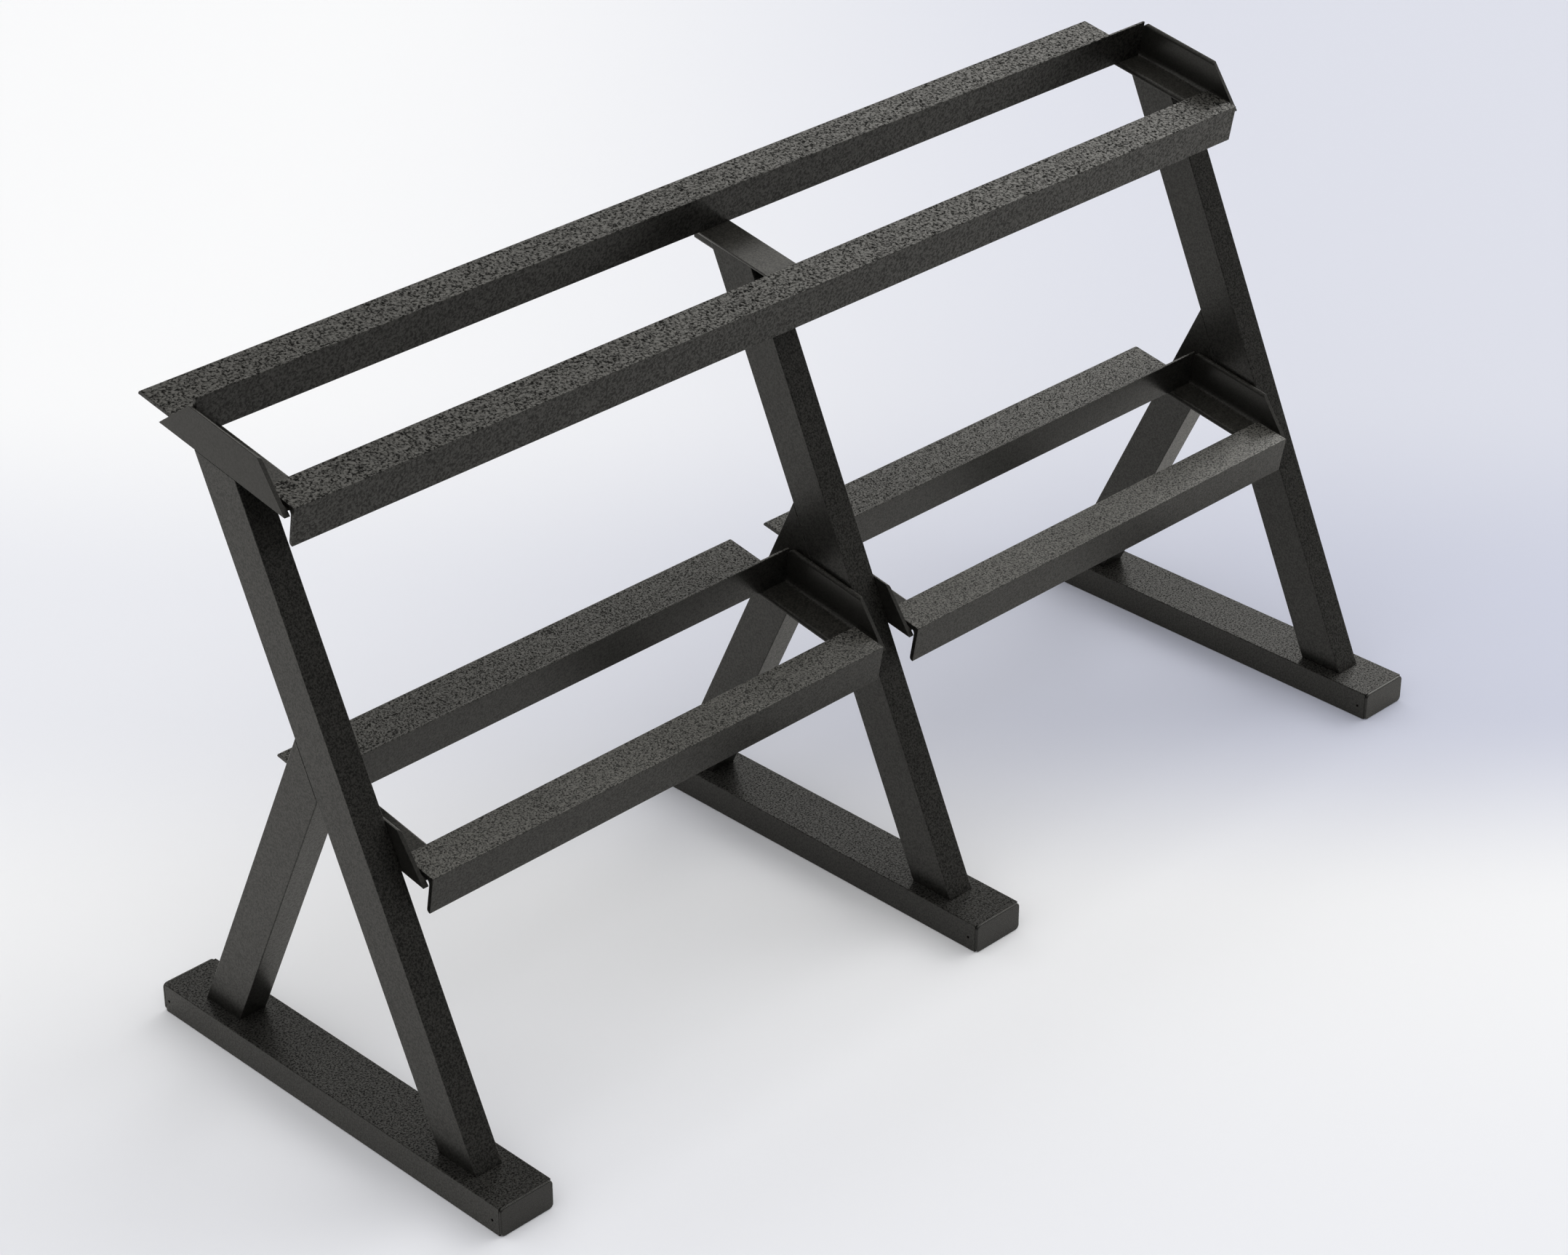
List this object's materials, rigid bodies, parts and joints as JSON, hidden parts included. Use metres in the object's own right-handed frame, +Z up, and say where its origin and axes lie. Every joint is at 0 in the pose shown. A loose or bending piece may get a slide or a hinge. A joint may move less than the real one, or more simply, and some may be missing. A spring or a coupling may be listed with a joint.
{
  "type": "dumbbell rack",
  "caption": "Free-standing dumbbell rack: leaning A-shaped side frames of box tube carry sloping angle-iron shelves on two levels.",
  "frame": {"origin": "on the floor at the centre of the footprint", "axes": "+X along the rack, -Y towards the user, +Z up"},
  "size_m": [2.1, 0.787, 1.1016],
  "materials": {
    "frame_steel": "black powder coat with a fine leather-like texture",
    "rail_steel": "black powder coat with a fine leather-like texture, strongest on faces that look up",
    "end_cap": "smooth satin dark grey moulded plastic"
  },
  "bodies": {
    "root": {"floor_tube_left": "frame_steel", "post_left": "frame_steel", "brace_left": "frame_steel", "cap_left_front": "end_cap", "cap_left_rear": "end_cap", "floor_tube_middle": "frame_steel", "post_middle": "frame_steel", "brace_middle": "frame_steel", "cap_middle_front": "end_cap", "cap_middle_rear": "end_cap", "floor_tube_right": "frame_steel", "post_right": "frame_steel", "brace_right": "frame_steel", "cap_right_front": "end_cap", "cap_right_rear": "end_cap", "top_end_angle_left": "rail_steel", "top_end_angle_right": "rail_steel", "top_rear_rail": "rail_steel", "top_front_rail": "rail_steel", "low_left_end_angle_left": "rail_steel", "low_left_end_angle_right": "rail_steel", "low_left_rear_rail": "rail_steel", "low_left_front_rail": "rail_steel", "low_right_end_angle_left": "rail_steel", "low_right_end_angle_right": "rail_steel", "low_right_rear_rail": "rail_steel", "low_right_front_rail": "rail_steel", "top_cross_angle": "rail_steel"}
  },
  "joints": []
}
